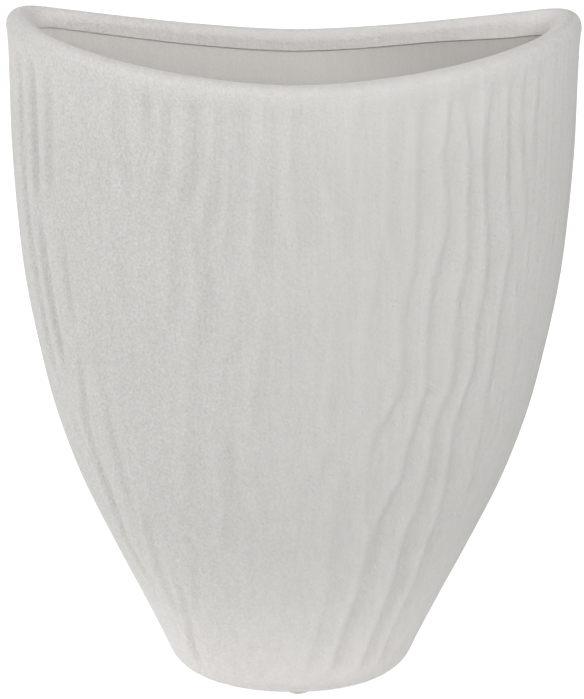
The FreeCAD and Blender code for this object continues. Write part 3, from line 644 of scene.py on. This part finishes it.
def clay_material(name, deep, painted_light, painted_shade_depth, streaks, speckle, relief):
    """Fired clay: its colour runs from deep to a paler colour of painted light by the painted light
    mark, and painted shade darkens it in the grooves and under the lip. Its sand speckle is painted
    stronger to the left, as raking light would show it, and is sponged smooth where the painted light
    is strongest."""
    clay = bpy.data.materials.new(name)
    clay.use_nodes = True
    tree = clay.node_tree
    shader = tree.nodes["Principled BSDF"]
    shader.inputs["Roughness"].default_value = 0.95
    shader.inputs["Specular IOR Level"].default_value = 0.3

    marks = {}
    for mark in ("painted_light", "painted_shade"):
        attribute = tree.nodes.new("ShaderNodeAttribute")
        attribute.attribute_name = mark
        marks[mark] = attribute.outputs["Fac"]
    colour = tree.nodes.new("ShaderNodeMix")
    colour.data_type = "RGBA"
    colour.inputs["A"].default_value = deep
    colour.inputs["B"].default_value = painted_light
    feed(tree, colour.inputs["Factor"], marks["painted_light"])
    # Painted shade: the shade mark darkens the colour in the flutes and under the lip.
    painted_shade = reckoned(tree, "MULTIPLY_ADD", marks["painted_shade"], painted_shade_depth, 1.0)

    across = tree.nodes.new("ShaderNodeSeparateXYZ")
    feed(tree, across.inputs["Vector"], tree.nodes.new("ShaderNodeTexCoord").outputs["Object"])
    # Painted raking light: the grain speckle is made stronger towards the left.
    painted_raking_light = tree.nodes.new("ShaderNodeMapRange")
    painted_raking_light.interpolation_type = "SMOOTHSTEP"
    painted_raking_light.inputs["From Min"].default_value = PAINTED_RAKE_LEFT_END
    painted_raking_light.inputs["From Max"].default_value = PAINTED_RAKE_RIGHT_END
    painted_raking_light.inputs["To Min"].default_value = PAINTED_RAKE_LEFT_SHARE * speckle
    painted_raking_light.inputs["To Max"].default_value = PAINTED_RAKE_RIGHT_SHARE * speckle
    feed(tree, painted_raking_light.inputs["Value"], across.outputs["X"])
    sponged = tree.nodes.new("ShaderNodeMapRange")
    sponged.inputs["To Min"].default_value = 1.0
    sponged.inputs["To Max"].default_value = SPONGED_SHARE
    feed(tree, sponged.inputs["Value"], marks["painted_light"])
    # The speckle's strength: real grain, with painted raking light on the left.
    sand = reckoned(tree, "MULTIPLY", painted_raking_light.outputs["Result"], sponged.outputs["Result"])
    rise = reckoned(tree, "MULTIPLY", sponged.outputs["Result"], relief)

    surface = tree.nodes.new("ShaderNodeGroup")
    surface.node_tree = sandy
    feed(tree, surface.inputs["Color"], scaled(tree, colour.outputs["Result"], painted_shade))
    feed(tree, surface.inputs["Streaks"], streaks)
    feed(tree, surface.inputs["Speckle"], sand)
    feed(tree, surface.inputs["Relief"], rise)
    feed(tree, shader.inputs["Base Color"], surface.outputs["Color"])
    feed(tree, shader.inputs["Normal"], surface.outputs["Normal"])
    return clay


# Each clay's colour where no painted light falls, and the paler colour its painted light lifts it to.
SANDED_DEEP, SANDED_PAINTED_LIGHT = (0.745, 0.735, 0.712, 1.0), (0.892, 0.868, 0.843, 1.0)
INNER_DEEP, INNER_PAINTED_LIGHT = (0.70, 0.68, 0.65, 1.0), (0.935, 0.915, 0.88, 1.0)
shell_mesh.materials.append(clay_material(
    "sanded_clay", SANDED_DEEP, SANDED_PAINTED_LIGHT, painted_shade_depth=0.053, streaks=0.10, speckle=0.20, relief=1.0))
shell_mesh.materials.append(clay_material(
    "inner_clay", INNER_DEEP, INNER_PAINTED_LIGHT, painted_shade_depth=0.055, streaks=0.03, speckle=0.07, relief=0.4))

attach(clay_shell, "root")
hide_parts("vase_body")


# The bumpers. Each is a small disc of clear soft rubber with a rounded face, bought on a
# sheet and stuck on: three under the foot and two low on the back.

BUMPER_PROFILE_SHARES = (
    (0.0, 0.0), (0.97, 0.0), (1.0, 0.04), (1.0, 0.62), (0.985, 0.76), (0.94, 0.88), (0.86, 0.95),
    (0.72, 0.985), (0.45, 1.0), (0.0, 1.0))
BUMPER_STEPS = 48
BUMPERS = {
    "base_bumper_front": "down", "base_bumper_rear_left": "down",
    "base_bumper_rear_right": "down", "wall_bumper_left": "back", "wall_bumper_right": "back"}

HAZE_SCALE = 900.0
HAZE_DETAIL = 2.0
HAZE_LEAST_ROUGHNESS = 0.12
HAZE_MOST_ROUGHNESS = 0.28

rubber = bpy.data.materials.new("clear_rubber")
rubber.use_nodes = True
rubber_tree = rubber.node_tree
rubber_shader = rubber_tree.nodes["Principled BSDF"]
rubber_shader.inputs["Base Color"].default_value = (0.90, 0.90, 0.88, 1.0)
rubber_shader.inputs["IOR"].default_value = 1.48
rubber_shader.inputs["Transmission Weight"].default_value = 0.5
rubber_place = rubber_tree.nodes.new("ShaderNodeTexCoord").outputs["Object"]
haze = rubber_tree.nodes.new("ShaderNodeMapRange")
haze.inputs["To Min"].default_value = HAZE_LEAST_ROUGHNESS
haze.inputs["To Max"].default_value = HAZE_MOST_ROUGHNESS
feed(rubber_tree, haze.inputs["Value"], noise(rubber_tree, HAZE_SCALE, HAZE_DETAIL, rubber_place))
feed(rubber_tree, rubber_shader.inputs["Roughness"], haze.outputs["Result"])

for name, facing in BUMPERS.items():
    low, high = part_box(name)
    middle = (low + high) / 2
    radius = (high.x - low.x) / 2
    dome = bmesh.new()
    profile = [dome.verts.new((radius * out, 0.0, up)) for out, up in BUMPER_PROFILE_SHARES]
    edges = [dome.edges.new(pair) for pair in zip(profile, profile[1:])]
    bmesh.ops.spin(
        dome, geom=profile + edges, axis=(0, 0, 1), cent=(0, 0, 0),
        angle=2 * math.pi, steps=BUMPER_STEPS, use_merge=True, use_duplicate=False)
    bmesh.ops.remove_doubles(dome, verts=dome.verts, dist=MERGE_DISTANCE)
    for vertex in dome.verts:
        x, y, up = vertex.co
        if facing == "down":
            vertex.co = (middle.x + x, middle.y + y, high.z + (low.z - high.z) * up)
        else:
            vertex.co = (middle.x + x, low.y + (high.y - low.y) * up, middle.z + y)
    bmesh.ops.recalc_face_normals(dome, faces=dome.faces)
    for face in dome.faces:
        face.smooth = True
    dome_mesh = bpy.data.meshes.new(name + "_dome")
    dome.to_mesh(dome_mesh)
    dome.free()
    dome_mesh.materials.append(rubber)
    bumper = bpy.data.objects.new(name + "_dome", dome_mesh)
    bpy.context.scene.collection.objects.link(bumper)
    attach(bumper, "root")
    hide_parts(name)


# The studio: a white floor under the bumpers, white all round, and soft light. The floor and
# the white surroundings look white to the camera, in gloss and through the rubber, and give
# the vase only a little light of their own.

FLOOR_HALF_WIDTH = 6.0
FLOOR_GLOW = 0.18
FLOOR_SEEN_GLOW = 0.6
SURROUNDING_GLOW = 0.06
SURROUNDING_SEEN_GLOW = 0.94
WHITE = (1.0, 1.0, 1.0, 1.0)


def glow_when_seen(tree, own, seen):
    """A glow's strength: its own for the light it gives, with more where it is looked at."""
    path = tree.nodes.new("ShaderNodeLightPath").outputs
    at_first = reckoned(tree, "MAXIMUM", path["Is Camera Ray"], path["Is Glossy Ray"])
    at_all = reckoned(tree, "MAXIMUM", at_first, path["Is Transmission Ray"])
    return reckoned(tree, "MULTIPLY_ADD", at_all, seen, own)


floor = bmesh.new()
bmesh.ops.create_grid(floor, x_segments=1, y_segments=1, size=FLOOR_HALF_WIDTH)
bmesh.ops.translate(floor, verts=floor.verts, vec=(0, 0, cad_box[0].z))
floor_mesh = bpy.data.meshes.new("studio_floor")
floor.to_mesh(floor_mesh)
floor.free()
studio_floor = bpy.data.objects.new("studio_floor", floor_mesh)
bpy.context.scene.collection.objects.link(studio_floor)

white_floor = bpy.data.materials.new("white_floor")
white_floor.use_nodes = True
floor_tree = white_floor.node_tree
floor_shader = floor_tree.nodes["Principled BSDF"]
floor_shader.inputs["Base Color"].default_value = (0.8, 0.8, 0.8, 1.0)
floor_shader.inputs["Roughness"].default_value = 0.9
floor_shader.inputs["Emission Color"].default_value = WHITE
floor_glow = glow_when_seen(floor_tree, FLOOR_GLOW, FLOOR_SEEN_GLOW)
feed(floor_tree, floor_shader.inputs["Emission Strength"], floor_glow)
floor_mesh.materials.append(white_floor)

world = bpy.data.worlds.new("studio")
bpy.context.scene.world = world
world.use_nodes = True
world_tree = world.node_tree
background = world_tree.nodes["Background"]
background.inputs["Color"].default_value = WHITE
world_glow = glow_when_seen(world_tree, SURROUNDING_GLOW, SURROUNDING_SEEN_GLOW)
feed(world_tree, background.inputs["Strength"], world_glow)

# The camera: a long lens, a little above the mouth, square to the vase's front.

CAMERA_DISTANCE = 2.7
CAMERA_RISE = math.radians(16.5)
CAMERA_ROLL = math.radians(0.3)
LOOK_HEIGHT = 0.128
LOOK_AT = Vector((0.0, -MOUTH_DEPTH / 2, FOOT_LEVEL + LOOK_HEIGHT))
SENSOR_WIDTH = 36.0
LENS_WIDTHS = 12.105
FRAME_SHIFT = 0.0418
FAR_LIMIT = 50.0
view = bpy.data.cameras.new("studio_camera")
view.sensor_fit = "HORIZONTAL"
view.sensor_width = SENSOR_WIDTH
view.lens = SENSOR_WIDTH * LENS_WIDTHS
view.shift_y = FRAME_SHIFT
view.clip_end = FAR_LIMIT
camera = bpy.data.objects.new("studio_camera", view)
towards = Vector((0.0, -math.cos(CAMERA_RISE), math.sin(CAMERA_RISE)))
camera.location = LOOK_AT + CAMERA_DISTANCE * towards
camera.rotation_euler = (math.pi / 2 - CAMERA_RISE, 0.0, 0.0)
camera.rotation_euler.rotate_axis("Z", CAMERA_ROLL)
bpy.context.scene.collection.objects.link(camera)
bpy.context.scene.camera = camera

# Each softbox: its bearing from the front and its rise, in degrees, and its power in watts.
SOFTBOXES = {
    "left": (-40.0, 28.0, 15.5),
    "right": (40.0, 36.0, 24.5),
    "far_left": (-85.0, 15.0, 14.5),
    "rim_left": (-115.0, 15.0, 9.0),
    "right_high": (45.0, 50.0, 8.7),
    "front": (0.0, 15.0, 1.5),
    "behind": (180.0, 45.0, 11.2),
}
SOFTBOX_DISTANCE = 2.6
SOFTBOX_SIZE = 1.6
for name, (bearing, rise, power) in SOFTBOXES.items():
    box = bpy.data.lights.new(name, "AREA")
    box.shape = "DISK"
    box.size = SOFTBOX_SIZE
    box.energy = power
    bearing, rise = math.radians(bearing), math.radians(rise)
    away = Vector((
        math.sin(bearing) * math.cos(rise), -math.cos(bearing) * math.cos(rise), math.sin(rise)))
    light = bpy.data.objects.new(name, box)
    light.location = LOOK_AT + SOFTBOX_DISTANCE * away
    light.rotation_euler = (-away).to_track_quat("-Z", "Y").to_euler()
    bpy.context.scene.collection.objects.link(light)

bpy.context.scene.view_settings.view_transform = "Standard"
